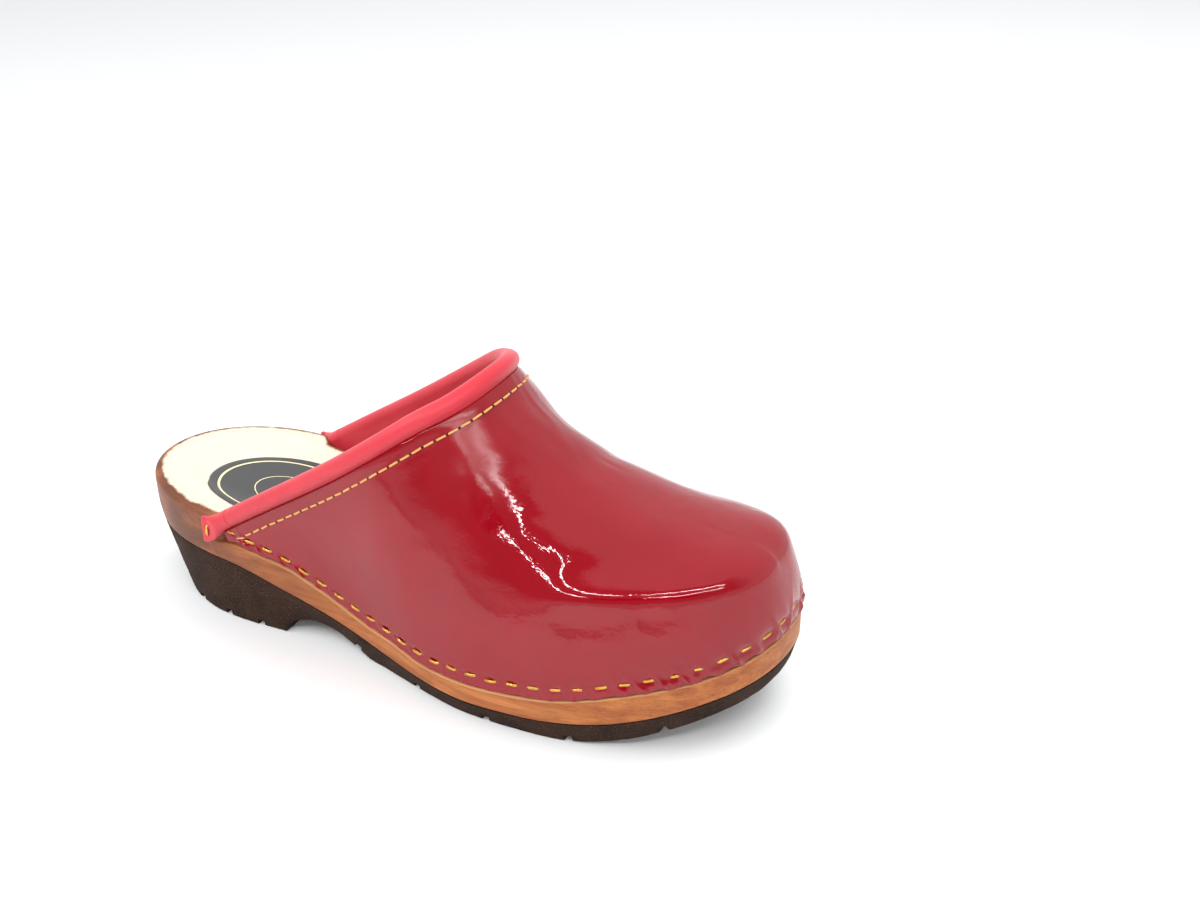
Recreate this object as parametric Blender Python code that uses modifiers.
"""A wooden clog for the right foot, in metres, +Z up, toe towards +X, outer side towards -Y.

The pieces are modelled in the last's own axes: x runs from the back of the heel, y from the middle of
the heel (plus towards the other foot), z from the ground. One empty then moves them all, so that the
object's origin is under the middle of its box.
"""

import functools
import math

import bmesh
import bpy
import numpy as np
from mathutils import Matrix, Vector

# ---------------------------------------------------------------- sole: driving sizes
SOLE_LENGTH = 0.255
HEEL_HALF = 0.036
WAIST_HALF = 0.0349
BALL_OUTER = 0.0489
BALL_INNER = 0.0457
TOE_OFFSET = 0.0045      # the toe's tip lies this far towards the other foot
HEEL_POWER = 2.1         # roundness of the heel's and the toe's outline
TOE_POWER = 2.3
HEEL_RAKE = 0.0105       # how far the heel's foot is set in at the back
RAKE_HEIGHT = 0.036
DISH_DEPTH = 0.003
DISH_SLOPE = 0.013       # breadth of the slope between the rim and the dish's floor
RIM_BREADTH = 0.003
CAP_INSET = 0.014        # strips across the sole close it from this far in
GAP = 0.0003             # between pieces that touch on the real shoe

# Places along the sole, as shares of its length.
HEEL_ROUND_AT = 0.215
HEEL_FRONT_AT = 0.292
ARCH_END_AT = 0.44
WAIST_AT = 0.36
BALL_AT = 0.647
HEEL_CORE_AT = 0.137
TOE_CORE_AT = 0.843
GROOVES_AT = (0.131, 0.192, 0.251, 0.416, 0.533, 0.651, 0.769, 0.886)

HEEL_ROUND_X = HEEL_ROUND_AT * SOLE_LENGTH
HEEL_FRONT_X = HEEL_FRONT_AT * SOLE_LENGTH
ARCH_END_X = ARCH_END_AT * SOLE_LENGTH
WAIST_X = WAIST_AT * SOLE_LENGTH
BALL_X = BALL_AT * SOLE_LENGTH

# Heights above the ground, at shares of the sole's length.
WOOD_LINE = ((0, 0.0273), (0.1, 0.0266), (0.22, 0.0246), (0.31, 0.0182), (0.41, 0.0112), (0.49, 0.0082),
             (0.6, 0.0066), (0.68, 0.0072), (0.75, 0.0081), (0.83, 0.0114), (0.95, 0.0207), (1, 0.0254))
LEDGE_LINE = ((0.18, 0.0325), (0.22, 0.033), (0.267, 0.0311), (0.314, 0.0285), (0.365, 0.023), (0.43, 0.0172),
              (0.5, 0.015), (0.55, 0.0131), (0.62, 0.0136), (0.694, 0.015), (0.757, 0.0171), (0.85, 0.0232),
              (0.95, 0.0301), (1, 0.0354))
RIM_LINE = ((0, 0.045), (0.196, 0.0432), (0.333, 0.0385), (0.47, 0.03), (0.588, 0.0255), (0.7, 0.0265),
            (0.8, 0.0305), (0.9, 0.0375), (1, 0.0445))
TOE_SPRING = ((0.76, 0), (0.785, 0.0008), (0.83, 0.003), (0.9, 0.0089), (1, 0.0183))
ARCH_HEIGHT = 0.0076
ARCH_LEAN = 0.608        # below 1, the arch is highest close behind the heel's front

# ---------------------------------------------------------------- rubber
BOTTOM_INSET = 0.002
HEEL_BOTTOM_INSET = 0.001
GROOVE_WIDTH = 0.003
GROOVE_DEPTH = 0.0024
EDGE_ROUND = 0.0008
TOP_ROUND = 0.0007

# ---------------------------------------------------------------- upper: driving sizes
LEATHER = 0.0015
LINING = 0.0007
PUFF = 0.0008
COVER = 0.0009           # the soft strip that is wrapped round the collar's cord
ROLL_RADIUS = 0.0032
PEAK_HEIGHT = 0.11
LEDGE_REVEAL = 0.0008    # the wood shows this much beyond the leather
SEAT_GAP = 0.0005        # between the leather's lower edge and the ledge
LAYER_GAP = 0.00045      # between layers that curve two ways
WALL_SWELL = 0.0018      # how far the waist's walls bulge beyond the ledge
SWELL_HEIGHT = 0.03
SWELL_TO_AT = 0.47       # the bulge fades out from here
SWELL_FADE = 0.12
FLANGE_DEPTH = 0.013     # the strip's seam allowance behind the leather
FACING_DEPTH = 0.024     # and its visible hem inside the shoe
LINING_TOP = 0.0155
STITCH_DEPTH = 0.0084
THREAD_RADIUS = 0.0003

# Each layer's place, measured inwards from the leather's outer face.
FLANGE_IN = LEATHER + LAYER_GAP + COVER / 2
FACING_IN = FLANGE_IN + COVER + GAP
ROLL_MID_RADIUS = ROLL_RADIUS - COVER / 2
ROLL_IN = FACING_IN + 0.00015 - ROLL_MID_RADIUS
CORE_RADIUS = ROLL_RADIUS - COVER - GAP
BEND = 0.00275           # the strip leaves its flat part this far below the roll
EDGE_DEPTH = ROLL_MID_RADIUS + BEND + 0.0001
PUFF_IN = LEATHER + LAYER_GAP + PUFF / 2
LINING_IN = LEATHER + LAYER_GAP + LINING / 2
LINING_OVER_PUFF = PUFF_IN + PUFF / 2 + LAYER_GAP + LINING / 2
REBATE_FRONT = LEDGE_REVEAL + LEATHER + 0.001
REBATE_REAR = LEDGE_REVEAL + ROLL_IN + ROLL_RADIUS + 0.0007

# Where the upper begins and ends.
REBATE_AT = 0.18
REBATE_FULL_AT = 0.188
NARROW_FROM_AT = 0.314
NARROW_TO_AT = 0.373
COLLAR_START_X = 0.2 * SOLE_LENGTH
BASE_START_X = 0.21 * SOLE_LENGTH
PEAK_X = 0.59 * SOLE_LENGTH
COLLAR_START_Z = 0.041
PEAK_LIFT = 0.0056       # the collar turns up this much in front of the instep
LIFT_FROM_X = 0.478 * SOLE_LENGTH
CLOSE_FROM_X = 0.463 * SOLE_LENGTH
CLOSE_POWER = 1.7        # how the collar closes towards the peak, and how round it is there
CLOSE_ROUND = 0.52
CALM_SIDES = 0.016       # the collar is evened out over these reaches
CALM_PEAK = 0.004
CALM_JOIN = 0.006
CALM_DEPTH = 0.03        # and carries the wall below it along to this depth
SOFTENED_STEPS = 60

# Height of the upper's crest, drawn for a collar peak of DRAWN_PEAK; behind the peak it only says how
# the walls lean.
DRAWN_PEAK = 0.1125
CREST_LINE = ((0.18, 0.2), (0.4, 0.165), (0.51, 0.135), (0.55, 0.122), (0.588, 0.1115), (0.627, 0.0985),
              (0.667, 0.089), (0.706, 0.0815), (0.745, 0.076), (0.784, 0.0725), (0.824, 0.0703), (0.882, 0.0685),
              (0.94, 0.0668), (1, 0.0645))
SECTION_POWER = ((0.39, 3), (0.51, 2.35), (0.55, 1.95), (0.588, 1.85), (0.647, 1.9), (0.706, 2.1),
                 (0.784, 2.4), (0.882, 2.6), (1, 2.8))
TOE_CAP_FROM_AT = 0.91
TOE_CAP_POWER = 2.8

# ---------------------------------------------------------------- staples
STAPLE_COUNT = 58        # places in the row; it spreads evenly over the leather's edge
STAPLE_END = 0.00166     # the row's first crown starts this far from the leather's end
STAPLE_CROWN = 0.0046
STAPLE_WIRE_RADIUS = 0.00045
STAPLE_LEG = 0.0085
STAPLE_RISE = 0.0045     # above the leather's lower edge
LEG_HOLE = 0.0015
SPARSE_FROM = 0.61       # on the inner waist every second staple is left out

# ---------------------------------------------------------------- tabs and label
TAB_REACH = 0.0075       # from the collar's start back to the tab's rear edge
TAB_REAR_X = COLLAR_START_X - TAB_REACH
TAB_LENGTH = 0.0097
TAB_BOTTOM_Z = 0.0325
TAB_TOP_Z = 0.0445
TAB_THICKNESS = 0.0015
TAB_STAPLE_BACK = 0.0015
LABEL_X = 0.235 * SOLE_LENGTH
LABEL_Y = -0.0045
LABEL_HALF_LENGTH = 0.035
LABEL_HALF_BREADTH = 0.0225
LABEL_THICKNESS = 0.0005
LABEL_CLEARANCE = 0.0005

ACROSS = 44              # steps along the upper's edge, shared by all its layers
WALL_ROWS = 8            # steps down the wall between its top band and the footbed
U_STATIONS = tuple(i / ACROSS for i in range(ACROSS + 1))


# ---------------------------------------------------------------- small mathematics
def smoothstep(t):
    t = np.clip(t, 0, 1)
    return t * t * (3 - 2 * t)


def through(points, x):
    """A smooth curve through (share of the sole's length, value) points, without overshoot, at x."""
    places, values = np.array(points, float).T
    places = places * SOLE_LENGTH
    step = np.diff(places)
    rise = np.diff(values) / step
    slope = np.concatenate(([rise[0]], (rise[1:] + rise[:-1]) / 2, [rise[-1]]))
    turning = rise[1:] * rise[:-1] <= 0
    slope[1:-1][turning] = 0
    limit = 3 * np.minimum(np.abs(np.append(rise, rise[-1])), np.abs(np.insert(rise, 0, rise[0])))
    slope = np.clip(slope, -limit, limit)
    x = np.clip(x, places[0], places[-1])
    i = np.clip(np.searchsorted(places, x) - 1, 0, len(step) - 1)
    t = (x - places[i]) / step[i]
    return ((1 + 2 * t) * (1 - t) ** 2 * values[i] + t * (1 - t) ** 2 * step[i] * slope[i]
            + t * t * (3 - 2 * t) * values[i + 1] + t * t * (t - 1) * step[i] * slope[i + 1])


def edge_y(x, side):
    """The sole's outline: y at x, on the outer side (-1) or the inner side (+1)."""
    heel = 1 - np.clip(x / HEEL_ROUND_X, 0, 1)
    toe = np.clip((x - BALL_X) / (SOLE_LENGTH - BALL_X), 0, 1)
    ball = np.where(np.asarray(side) < 0, BALL_OUTER, BALL_INNER)
    half = HEEL_HALF + (WAIST_HALF - HEEL_HALF) * smoothstep((x - HEEL_ROUND_X) / (WAIST_X - HEEL_ROUND_X))
    half = half + (ball - WAIST_HALF) * smoothstep((x - WAIST_X) / (BALL_X - WAIST_X))
    rounding = (1 - heel ** HEEL_POWER) ** (1 / HEEL_POWER) * (1 - toe ** TOE_POWER) ** (1 / TOE_POWER)
    return side * half * rounding + TOE_OFFSET * toe ** 2


def spine_at(x):
    """The line that insets are measured towards: (x, y) of its nearest point."""
    along = min(max(x, HEEL_CORE_AT * SOLE_LENGTH), TOE_CORE_AT * SOLE_LENGTH)
    toe = max(along - BALL_X, 0) / (SOLE_LENGTH - BALL_X)
    return Vector((along, TOE_OFFSET * toe ** 2))


def rake(x, z):
    """How far forward the heel's back leans in at height z."""
    return HEEL_RAKE * float(smoothstep((RAKE_HEIGHT - z) / RAKE_HEIGHT)) * max(0, 1 - x / HEEL_FRONT_X)


# ---------------------------------------------------------------- heights of the sole
def wood_z(x):
    return float(through(WOOD_LINE, x))


def ledge_z(x):
    return through(LEDGE_LINE, x)


def rim_z(x):
    return through(RIM_LINE, x)


def ground_z(x):
    """The rubber's underside: flat at heel and ball, arched between them, turned up at the toe."""
    t = (x - HEEL_FRONT_X) / (ARCH_END_X - HEEL_FRONT_X)
    arch = ARCH_HEIGHT * math.sin(math.pi * t ** ARCH_LEAN) if 0 < t < 1 else 0
    return arch + float(through(TOE_SPRING, x))


def rebate(x):
    """Depth of the step that the leather sits in, nothing behind the collar's ends."""
    begin = (x / SOLE_LENGTH - REBATE_AT) / (REBATE_FULL_AT - REBATE_AT)
    narrow = (x / SOLE_LENGTH - NARROW_FROM_AT) / (NARROW_TO_AT - NARROW_FROM_AT)
    depth = REBATE_REAR + (REBATE_FRONT - REBATE_REAR) * float(smoothstep(narrow))
    return depth * min(max(begin, 0), 1)


DISH_FROM = REBATE_REAR + RIM_BREADTH
DISH_TO = DISH_FROM + DISH_SLOPE


def footbed_z(x, inset):
    """Height of the dished footbed, this far in from the sole's outline."""
    return float(rim_z(x)) - DISH_DEPTH * float(smoothstep((inset - DISH_FROM) / (DISH_TO - DISH_FROM)))


# ---------------------------------------------------------------- lofts
def sole_stations():
    """Places along one side of the sole: close together round the ends and at the steps in its shape."""
    heel = [HEEL_ROUND_X * (1 - math.cos(math.radians(angle))) for angle in range(0, 76, 15)]
    steps = [REBATE_AT * SOLE_LENGTH, REBATE_FULL_AT * SOLE_LENGTH, HEEL_ROUND_X]
    arch = [HEEL_FRONT_X + share * (ARCH_END_X - HEEL_FRONT_X)
            for share in (-0.3, -0.08, 0, 0.05, 0.12, 0.22, 0.35, 0.55, 0.75, 0.88, 1)]
    middle = [ARCH_END_X + share * (BALL_X - ARCH_END_X) for share in (0.2, 0.4, 0.6, 0.8)]
    toe = [BALL_X + (SOLE_LENGTH - BALL_X) * math.sin(math.radians(angle)) for angle in np.linspace(0, 90, 13)]
    return heel + steps + arch + middle + toe


def ring(inset, height):
    """One closed ring round the sole; inset and height are functions of x."""
    stations = sole_stations()
    walk = [(x, -1) for x in stations] + [(x, 1) for x in reversed(stations[1:-1])]
    points = []
    for x, side in walk:
        edge = Vector((x, float(edge_y(x, side))))
        flat = edge + (spine_at(x) - edge).normalized() * inset(x)
        z = height(flat.x)
        points.append(Vector((flat.x + rake(flat.x, z), flat.y, z)))
    return points


def loft(name, rings, material):
    """A solid through rings from bottom to top, each end closed by strips from side to side."""
    form = bmesh.new()
    loops = [[form.verts.new(point) for point in points] for points in rings]
    count = len(loops[0])
    half = count // 2
    for low, high in zip(loops, loops[1:]):
        for i in range(count):
            j = (i + 1) % count
            form.faces.new((low[i], low[j], high[j], high[i]))
    for loop in (loops[0], loops[-1]):
        form.faces.new((loop[0], loop[1], loop[-1]))
        form.faces.new((loop[half], loop[half - 1], loop[half + 1]))
        for i in range(1, half - 1):
            form.faces.new((loop[i], loop[i + 1], loop[count - i - 1], loop[count - i]))
    bmesh.ops.recalc_face_normals(form, faces=form.faces)
    return add_mesh(name, form, material)


# ---------------------------------------------------------------- objects
def material(name, colour, roughness, metallic=0.0):
    made = bpy.data.materials.new(name)
    made.use_nodes = True
    shader = made.node_tree.nodes["Principled BSDF"]
    shader.inputs["Base Color"].default_value = (*colour, 1)
    shader.inputs["Roughness"].default_value = roughness
    shader.inputs["Metallic"].default_value = metallic
    return made


def place(made, surface=None):
    """Puts an object with the clog's parts, or with the cutters if it has no surface."""
    if surface is None:
        CUTTERS.objects.link(made)
        made.hide_render = True
        made.display_type = "WIRE"
    else:
        PARTS.objects.link(made)
        made.data.materials.append(surface)
    made.parent = LAST
    return made


def add_mesh(name, form, surface=None):
    mesh = bpy.data.meshes.new(name)
    form.to_mesh(mesh)
    form.free()
    if surface is not None:
        mesh.shade_smooth()
        mesh.set_sharp_from_angle(angle=math.radians(35))
    return place(bpy.data.objects.new(name, mesh), surface)


def add_wire(name, points, radius, surface, sides=0):
    """A wire or cord along points; sides is the bevel resolution."""
    curve = bpy.data.curves.new(name, "CURVE")
    curve.dimensions = "3D"
    curve.bevel_depth = radius
    curve.bevel_resolution = sides
    curve.use_fill_caps = True
    spline = curve.splines.new("POLY")
    spline.points.add(len(points) - 1)
    for spot, point in zip(spline.points, points):
        spot.co = (*point, 1)
    return place(bpy.data.objects.new(name, curve), surface)


def add_sheet(name, rows, thickness, surface):
    """A sheet through rows of points, given its thickness evenly to both sides."""
    form = bmesh.new()
    lines = [[form.verts.new(point) for point in row] for row in rows]
    for above, below in zip(lines, lines[1:]):
        for i in range(len(above) - 1):
            form.faces.new((above[i], above[i + 1], below[i + 1], below[i]))
    made = add_mesh(name, form, surface)
    wall = made.modifiers.new("wall", "SOLIDIFY")
    wall.thickness = thickness
    wall.offset = 0
    return made


def box(form, centre, along, up, size):
    """A box in a bmesh: its sides lie along, up and across, with the sizes given in that order."""
    across = along.cross(up).normalized()
    turn = Matrix((along, up, across)).transposed().to_4x4()
    turn.translation = centre
    bmesh.ops.create_cube(form, size=1, matrix=turn @ Matrix.Diagonal((*size, 1)))


def cut(made, cutter, operation="DIFFERENCE"):
    change = made.modifiers.new(cutter.name, "BOOLEAN")
    change.operation = operation
    change.object = cutter


# ---------------------------------------------------------------- the upper's outer face
def section(x, z):
    """The upper's cross-section at x: half its breadth at height z, its middle and its base."""
    toe = np.clip((x - BALL_X) / (SOLE_LENGTH - BALL_X), 0, 1) ** 2
    outline = x + LEDGE_REVEAL * toe
    outer = edge_y(outline, -1)
    inner = edge_y(outline, 1)
    base = ledge_z(x) + SEAT_GAP
    fading = 1 - smoothstep((x / SOLE_LENGTH - SWELL_TO_AT) / SWELL_FADE)
    swell = WALL_SWELL * np.clip((z - base) / SWELL_HEIGHT, 0, 1) * fading
    half = (inner - outer) / 2 - LEDGE_REVEAL * (1 - toe) + swell
    return np.maximum(half, 1e-6), (inner + outer) / 2, base


def crest_height(x, base):
    """How high the upper stands over its base at x; it rounds down to nothing at the tip."""
    tip = SOLE_LENGTH - LEDGE_REVEAL
    start = TOE_CAP_FROM_AT * SOLE_LENGTH
    t = np.clip((x - start) / (tip - start), 0, 1)
    rise = PEAK_HEIGHT / DRAWN_PEAK * through(CREST_LINE, x) - base
    return np.maximum(rise * (1 - t ** TOE_CAP_POWER) ** (1 / TOE_CAP_POWER), 1e-6)


def beyond(points):
    """Below 0 inside the upper's outer face, 0 on it, above 0 outside."""
    x, y, z = np.moveaxis(points, -1, 0)
    half, middle, base = section(x, z)
    power = through(SECTION_POWER, x)
    sideways = np.abs(y - middle) / half
    upwards = np.maximum(z - base, 0) / crest_height(x, base)
    return np.minimum(sideways, 1e3) ** power + np.minimum(upwards, 1e3) ** power - 1


def press(points):
    """Moves points straight out from the upper's core line until they lie on its outer face."""
    core_x = np.minimum(points[..., 0], TOE_CORE_AT * SOLE_LENGTH)
    _, middle, base = section(core_x, ledge_z(core_x))
    core = np.stack((core_x, middle, base), -1)
    ray = points - core
    ray = ray / np.linalg.norm(ray, axis=-1, keepdims=True)
    near = np.zeros(points.shape[:-1])
    far = np.full(points.shape[:-1], SOLE_LENGTH)
    for _ in range(40):
        middle_way = (near + far) / 2
        inside = beyond(core + ray * middle_way[..., None]) < 0
        near = np.where(inside, middle_way, near)
        far = np.where(inside, far, middle_way)
    return core + ray * near[..., None]


def outward(points):
    """The outer face's unit normal at points on it."""
    small = 1e-5
    slopes = []
    for axis in np.eye(3) * small:
        slopes.append(beyond(points + axis) - beyond(points - axis))
    slope = np.stack(slopes, -1)
    return slope / np.linalg.norm(slope, axis=-1, keepdims=True)


def evenly(points, shares):
    """Points at shares of the length of a line."""
    run = np.concatenate(([0], np.cumsum(np.linalg.norm(np.diff(points, axis=0), axis=1))))
    return np.stack([np.interp(np.asarray(shares) * run[-1], run, column) for column in points.T], -1)


def softened(points, reach):
    """A line of evenly spaced points averaged over this reach along it, with its two ends kept."""
    spacing = np.linalg.norm(np.diff(points, axis=0), axis=1).mean()
    side = np.arange(-SOFTENED_STEPS, SOFTENED_STEPS + 1)
    weight = np.exp(-0.5 * (side * spacing / reach) ** 2)
    before = 2 * points[0] - points[SOFTENED_STEPS:0:-1]
    after = 2 * points[-1] - points[-2:-SOFTENED_STEPS - 2:-1]
    padded = np.concatenate((before, points, after))
    return np.stack([np.convolve(column, weight / weight.sum(), "valid") for column in padded.T], -1)


@functools.lru_cache
def easing():
    """How far the collar is drawn off the pressed surface to run in one calm sweep, at even steps."""
    steps = np.linspace(0, 1, 401)
    pressed = evenly(collar_line(), steps)
    near_peak = smoothstep((0.2 - np.abs(steps - 0.5)) / 0.12)[:, None]
    calm = softened(pressed, CALM_SIDES) * (1 - near_peak) + softened(pressed, CALM_PEAK) * near_peak
    return softened(calm, CALM_JOIN) - pressed


@functools.lru_cache
def collar_line():
    """The middle of the collar's roll: up from one rear end, over the instep's peak, down to the other."""
    x = COLLAR_START_X + (PEAK_X - COLLAR_START_X) * np.sin(np.linspace(0, math.pi / 2, 121))
    slope = (PEAK_HEIGHT - PEAK_LIFT - COLLAR_START_Z) / (PEAK_X - COLLAR_START_X)
    lift = np.maximum(x - LIFT_FROM_X, 0) / (PEAK_X - LIFT_FROM_X)
    z = COLLAR_START_Z + slope * (x - COLLAR_START_X) + PEAK_LIFT * lift ** 2
    closing = np.clip((x - CLOSE_FROM_X) / (PEAK_X - CLOSE_FROM_X), 0, 1)
    _, middle, _ = section(x, z)
    spread = (HEEL_HALF - LEDGE_REVEAL) * (1 - closing ** CLOSE_POWER) ** CLOSE_ROUND
    outer = np.stack((x, middle - spread, z), -1)
    inner = np.stack((x, middle + spread, z), -1)[::-1]
    return press(np.concatenate((outer, inner[1:])))


@functools.lru_cache
def base_line():
    """The leather's lower edge on the ledge, from the outer rear corner round the toe to the inner one."""
    x = BASE_START_X + (SOLE_LENGTH - LEDGE_REVEAL - BASE_START_X) * np.sin(np.linspace(0, math.pi / 2, 161))
    half, middle, base = section(x, ledge_z(x))
    outer = np.stack((x, middle - half, base), -1)
    inner = np.stack((x, middle + half, base), -1)[::-1]
    return np.concatenate((outer, inner[1:]))


@functools.lru_cache
def runs(stations):
    """Lines from the collar down to the ledge at each station: their points and lengths so far."""
    shares = np.linspace(0, 1, 41)[:, None, None]
    top = evenly(collar_line(), stations)
    foot = evenly(base_line(), stations)
    lines = press(top + (foot - top) * shares)
    steps = np.linalg.norm(np.diff(lines, axis=0), axis=-1)
    return top, foot, lines, np.concatenate((np.zeros((1, len(stations))), np.cumsum(steps, axis=0)))


def wall(stations, depth, inward):
    """Points at a depth below the collar's middle and a distance inwards from the outer face."""
    top, foot, lines, lengths = runs(stations)
    depth = np.broadcast_to(depth, len(stations))
    shares = np.linspace(0, 1, len(lines))
    down = [np.interp(depth[i], lengths[:, i], shares) for i in range(len(stations))]
    points = press(top + (foot - top) * np.array(down)[:, None])
    steps = np.linspace(0, 1, len(easing()))
    ease = np.stack([np.interp(stations, steps, column) for column in easing().T], -1)
    points = points + np.exp(-(np.maximum(depth, 0) / CALM_DEPTH) ** 2)[:, None] * ease
    normals = outward(points)
    above = np.minimum(depth, 0)[:, None] * (lines[1] - lines[0]) / (lengths[1] - lengths[0])[:, None]
    return points + above - normals * np.broadcast_to(inward, len(stations))[:, None]


def wall_length(stations):
    return runs(stations)[3][-1]


def seat_depth(stations):
    """Depth at which each line comes down to just over the footbed's rim; 0 where it starts below it."""
    _, _, lines, lengths = runs(stations)
    over = lines[..., 2] - rim_z(lines[..., 0]) - 0.0013
    return np.array([np.interp(0, -over[:, i], lengths[:, i]) for i in range(len(stations))])


def wall_depths(stations):
    """Depth of each row of the upper: the top band, the wall, the band against the wood."""
    total = wall_length(stations)
    spare = total - EDGE_DEPTH
    band = np.minimum(LINING_TOP, EDGE_DEPTH + 0.35 * spare)
    seat = np.maximum(seat_depth(stations), EDGE_DEPTH + 0.65 * spare)
    rows = [np.full(len(stations), EDGE_DEPTH), (EDGE_DEPTH + band) / 2]
    rows += [band + (seat - band) * share / WALL_ROWS for share in range(WALL_ROWS + 1)]
    rows += [(seat + total) / 2, total]
    return rows


FIRST_WALL_ROW = 2       # the rows before it make the band under the collar


# ---------------------------------------------------------------- the pieces
def make_wooden_sole():
    """The wood: a stepped block, its ledge for the leather, its rim and its dished footbed."""
    def above_ledge(rise):
        return lambda x: float(ledge_z(x)) + rise

    def end(x):
        return min(rebate(x) / REBATE_FRONT, 1)

    rings = [
        ring(lambda x: CAP_INSET, wood_z),
        ring(lambda x: EDGE_ROUND, wood_z),
        ring(lambda x: 0, lambda x: wood_z(x) + EDGE_ROUND),
        ring(lambda x: 0, above_ledge(-0.0006)),
        ring(lambda x: 0.0005 * end(x), above_ledge(0)),
        ring(rebate, lambda x: float(ledge_z(x)) + 0.0012 * (1 - end(x))),
        ring(rebate, lambda x: float(rim_z(x)) - 0.002),
        ring(lambda x: rebate(x) + 0.001, lambda x: float(rim_z(x)) - GAP),
    ]
    for share in (0, 0.3, 0.65, 1):
        inset = DISH_FROM + share * DISH_SLOPE
        rings.append(ring(lambda x, inset=inset: inset, lambda x, inset=inset: footbed_z(x, inset)))
    return loft("wooden_sole", rings, WOOD)


def make_rubber_outsole():
    """The rubber: a heel and a forepart in one, joined by a thin waist, with grooves across."""
    def top(drop):
        return lambda x: wood_z(x) - GAP - drop

    def foot_inset(x):
        fore = float(smoothstep((x - HEEL_FRONT_X) / (WAIST_X - HEEL_FRONT_X)))
        return HEEL_BOTTOM_INSET + (BOTTOM_INSET - HEEL_BOTTOM_INSET) * fore

    rings = [
        ring(lambda x: CAP_INSET, ground_z),
        ring(lambda x: foot_inset(x) + EDGE_ROUND, ground_z),
        ring(foot_inset, lambda x: ground_z(x) + EDGE_ROUND),
        ring(lambda x: 0, top(TOP_ROUND)),
        ring(lambda x: 0.0003, top(0)),
        ring(lambda x: CAP_INSET, top(0)),
    ]
    sole = loft("rubber_outsole", rings, RUBBER)
    form = bmesh.new()
    for share in GROOVES_AT:
        x = share * SOLE_LENGTH
        slope = (ground_z(x + 0.001) - ground_z(x - 0.001)) / 0.002
        along = Vector((1, 0, slope)).normalized()
        up = Vector((-slope, 0, 1)).normalized()
        box(form, Vector((x, 0, ground_z(x))), along, up, (GROOVE_WIDTH, 2 * GROOVE_DEPTH, 4 * BALL_OUTER))
    cut(sole, add_mesh("groove_cutters", form))
    return sole


def make_patent_upper():
    rows = [wall(U_STATIONS, depth, LEATHER / 2) for depth in wall_depths(U_STATIONS)]
    return add_sheet("patent_upper", rows, LEATHER, PATENT)


def lined_stations():
    """The stations where the wall is deep enough to carry a lining."""
    deep = seat_depth(U_STATIONS) > LINING_TOP + 0.008
    return tuple(u for u, enough in zip(U_STATIONS, deep) if enough)


PUFF_STATIONS = tuple(u for u in U_STATIONS if 0.35 <= u <= 0.65)
PUFF_FIRST_ROW = 3


def make_upper_lining():
    """The lining, from under the collar's hem to the footbed; at the toe it steps in over the puff."""
    stations = lined_stations()
    u = np.array(stations)
    toe = smoothstep((0.2 - np.abs(u - 0.5)) / 0.05)
    rows = []
    for row in range(WALL_ROWS + 1):
        down = smoothstep((row - PUFF_FIRST_ROW + 2) / 1.0)
        inward = LINING_IN + (LINING_OVER_PUFF - LINING_IN) * toe * down
        rows.append(wall(stations, wall_depths(stations)[FIRST_WALL_ROW + row], inward))
    return add_sheet("upper_lining", rows, LINING, LINING_CLOTH)


def make_toe_puff():
    """The stiffener that keeps the toe's shape, between leather and lining."""
    depths = wall_depths(PUFF_STATIONS)
    rows = [wall(PUFF_STATIONS, depths[FIRST_WALL_ROW + row], PUFF_IN)
            for row in range(PUFF_FIRST_ROW, WALL_ROWS + 1)]
    return add_sheet("toe_puff", rows, PUFF, PUFF_BOARD)


def make_collar_cover():
    """The soft strip: seam allowance behind the leather, round the cord, down inside as a hem."""
    seat = seat_depth(U_STATIONS) - 0.001
    flange = np.clip(seat, EDGE_DEPTH + 0.0006, FLANGE_DEPTH)
    facing = np.clip(seat, EDGE_DEPTH + 0.0008, FACING_DEPTH)
    bend = ROLL_MID_RADIUS
    path = [(flange, FLANGE_IN), (np.full(len(flange), bend + BEND), FLANGE_IN),
            (bend + 0.00155, FLANGE_IN - 0.0004), (bend + 0.00055, FLANGE_IN - 0.0012)]
    for angle in (-105, -145, 180, 145, 110, 75, 40, 5, -25):
        turn = math.radians(angle)
        path.append((-bend * math.sin(turn), ROLL_IN + bend * math.cos(turn)))
    path += [(bend, FACING_IN), (bend + BEND, FACING_IN), ((facing + bend + BEND) / 2, FACING_IN)]
    path += [(facing, FACING_IN)]
    rows = [wall(U_STATIONS, depth, inward) for depth, inward in path]
    return add_sheet("collar_cover", rows, COVER, SOFT_RED)


def make_collar_core():
    stations = tuple(u for u in U_STATIONS if 0 < u < 1)
    return add_wire("collar_core", wall(stations, 0, ROLL_IN), CORE_RADIUS, FOAM, sides=1)


def make_collar_stitching():
    stations = tuple(u for u in U_STATIONS if 0.02 < u < 0.98)
    lift = -(GAP + THREAD_RADIUS)
    return add_wire("collar_stitching", wall(stations, STITCH_DEPTH, lift), THREAD_RADIUS, THREAD)


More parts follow.
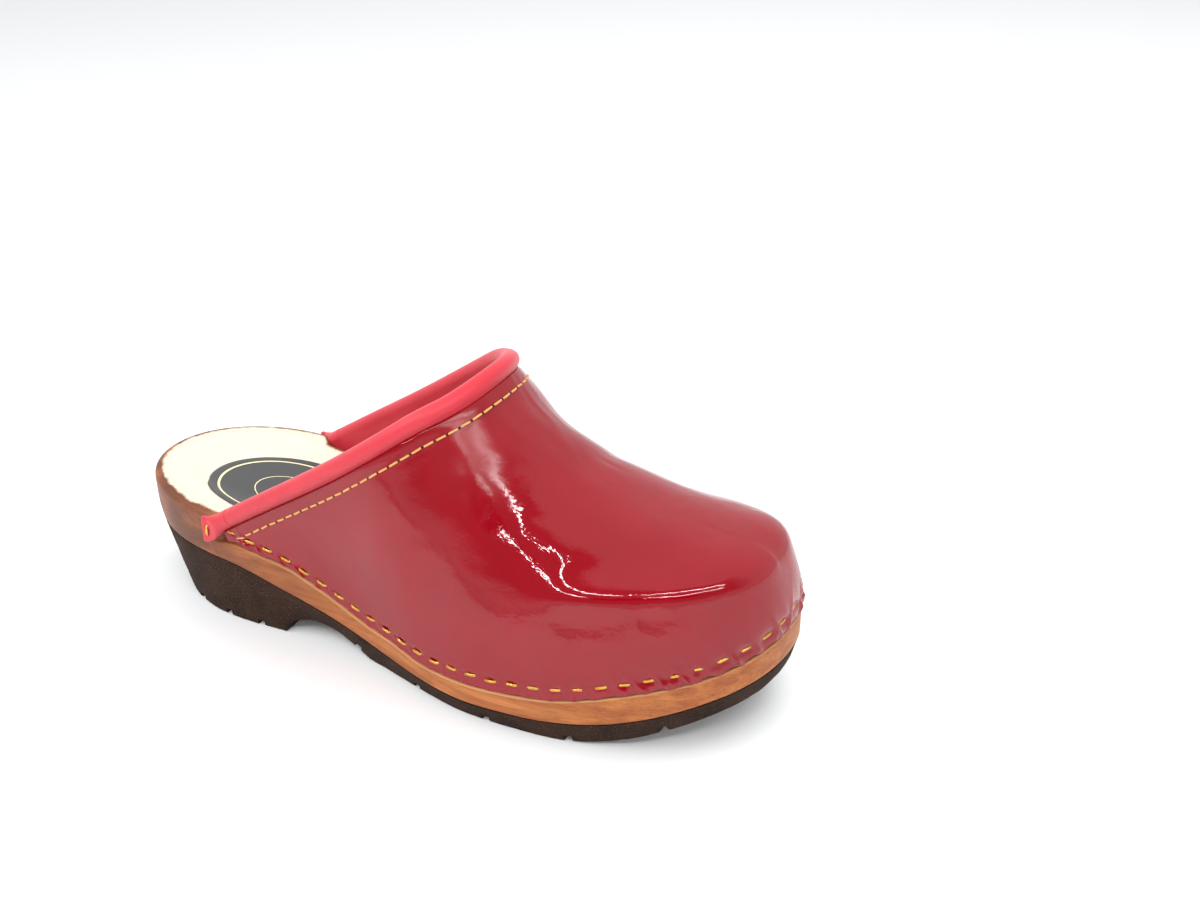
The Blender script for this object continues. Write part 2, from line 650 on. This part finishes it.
def add_tab(side):
    """The flat end of the soft strip, folded down over the wood's side."""
    flank = wood_flank()
    middle = Vector((TAB_REAR_X + TAB_LENGTH / 2, side * (flank + GAP + TAB_THICKNESS / 2), 0))
    middle.z = (TAB_BOTTOM_Z + TAB_TOP_Z) / 2
    form = bmesh.new()
    box(form, middle, Vector((1, 0, 0)), Vector((0, 0, 1)), (TAB_LENGTH, TAB_TOP_Z - TAB_BOTTOM_Z, TAB_THICKNESS))
    edges = [edge for edge in form.edges if abs(edge.verts[0].co.y - edge.verts[1].co.y) > TAB_THICKNESS / 2]
    bmesh.ops.bevel(form, geom=edges, offset=0.0015, segments=2, affect="EDGES")
    return add_mesh("tab_outer" if side < 0 else "tab_inner", form)


def wood_flank():
    """The greatest half breadth of the wood under a tab."""
    return float(edge_y(TAB_REAR_X + TAB_LENGTH, 1))


def make_footbed_label():
    """A thin oval lying in the heel's dish."""
    form = bmesh.new()
    turns = 28
    rings = []
    for share in (0, 0.4, 0.7, 0.86, 1):
        loop = []
        for i in range(turns if share else 1):
            angle = 2 * math.pi * i / turns
            x = LABEL_X + share * LABEL_HALF_LENGTH * math.cos(angle)
            y = LABEL_Y + share * LABEL_HALF_BREADTH * math.sin(angle)
            inset = abs(float(edge_y(x, math.copysign(1, y)))) - abs(y)
            z = footbed_z(x, inset) + LABEL_CLEARANCE + LABEL_THICKNESS / 2
            loop.append(form.verts.new((x, y, z)))
        rings.append(loop)
    centre = rings[0][0]
    for i in range(turns):
        form.faces.new((centre, rings[1][i], rings[1][(i + 1) % turns]))
    for inner, outer in zip(rings[1:], rings[2:]):
        for i in range(turns):
            j = (i + 1) % turns
            form.faces.new((inner[i], outer[i], outer[j], inner[j]))
    label = add_mesh("footbed_label", form, LABEL)
    body = label.modifiers.new("body", "SOLIDIFY")
    body.thickness = LABEL_THICKNESS
    body.offset = 0
    return label


def add_staple(name, centre, along, inwards, holes):
    """A wire staple: its crown lies along, its two legs go inwards; their holes go into a bmesh."""
    half = along * (STAPLE_CROWN / 2 - STAPLE_WIRE_RADIUS)
    corners = (centre - half, centre + half)
    legs = [corner + inwards * STAPLE_LEG for corner in corners]
    add_wire(name, (legs[0], *corners, legs[1]), STAPLE_WIRE_RADIUS, BRASS)
    length = STAPLE_LEG + 2 * GAP
    for corner in corners:
        box(holes, corner + inwards * length / 2, inwards, inwards.cross(along), (length, LEG_HOLE, LEG_HOLE))


def staple_shares():
    """Where the lasting staples sit along the upper's lower edge, with their numbers."""
    length = np.linalg.norm(np.diff(base_line(), axis=0), axis=1).sum()
    first = (STAPLE_END + STAPLE_CROWN / 2) / length
    shares = enumerate(np.linspace(first, 1 - first, STAPLE_COUNT), 1)
    return [(number, float(u)) for number, u in shares if u < SPARSE_FROM or number % 2]


def make_staples():
    """The lasting staples round the upper, and one at each tab."""
    holes = bmesh.new()
    numbered = staple_shares()
    stations = tuple(u for _, u in numbered)
    lines = []
    for step in (-0.002, 0, 0.002):
        places = tuple(u + step for u in stations)
        lines.append(wall(places, wall_length(places) - STAPLE_RISE, -(GAP + STAPLE_WIRE_RADIUS)))
    for (number, _), low, spot, high in zip(numbered, *lines):
        along = Vector(high - low).normalized()
        inwards = Vector((0, 0, 1)).cross(Vector((along.x, along.y, 0))).normalized()
        add_staple(f"lasting_staple_{number:02d}", Vector(spot), along, inwards, holes)
    for side, name in ((-1, "tab_staple_outer"), (1, "tab_staple_inner")):
        away = wood_flank() + GAP + TAB_THICKNESS + GAP + STAPLE_WIRE_RADIUS
        spot = Vector((TAB_REAR_X + TAB_STAPLE_BACK, side * away, (TAB_BOTTOM_Z + TAB_TOP_Z) / 2))
        add_staple(name, spot, Vector((0, 0, 1)), Vector((0, -side, 0)), holes)
    return add_mesh("staple_leg_holes", holes)


# ---------------------------------------------------------------- the assembly
for old in list(bpy.data.objects):
    bpy.data.objects.remove(old)

PARTS = bpy.data.collections.new("wooden_clog")
CUTTERS = bpy.data.collections.new("cutters")
bpy.context.scene.collection.children.link(PARTS)
bpy.context.scene.collection.children.link(CUTTERS)
LAST = bpy.data.objects.new("last_axes", None)
LAST.location = (-SOLE_LENGTH / 2, (BALL_OUTER - BALL_INNER) / 2, 0)
PARTS.objects.link(LAST)

WOOD = material("stained_wood", (0.42, 0.19, 0.07), 0.5)
RUBBER = material("brown_rubber", (0.055, 0.028, 0.018), 0.85)
PATENT = material("red_patent_leather", (0.36, 0.006, 0.014), 0.08)
SOFT_RED = material("soft_red_strip", (0.5, 0.06, 0.05), 0.6)
LINING_CLOTH = material("lining", (0.5, 0.08, 0.06), 0.8)
PUFF_BOARD = material("puff_board", (0.7, 0.62, 0.5), 0.9)
FOAM = material("foam_cord", (0.8, 0.78, 0.7), 0.9)
THREAD = material("golden_thread", (0.75, 0.33, 0.06), 0.7)
LABEL = material("dark_label", (0.05, 0.05, 0.05), 0.5)
BRASS = material("brass", (0.83, 0.62, 0.27), 0.3, 1.0)

sole = make_wooden_sole()
make_rubber_outsole()
upper = make_patent_upper()
make_upper_lining()
make_toe_puff()
cover = make_collar_cover()
make_collar_core()
make_collar_stitching()
make_footbed_label()
for side in (-1, 1):
    cut(cover, add_tab(side), "UNION")
leg_holes = make_staples()
for pierced in (sole, upper, cover):
    cut(pierced, leg_holes)
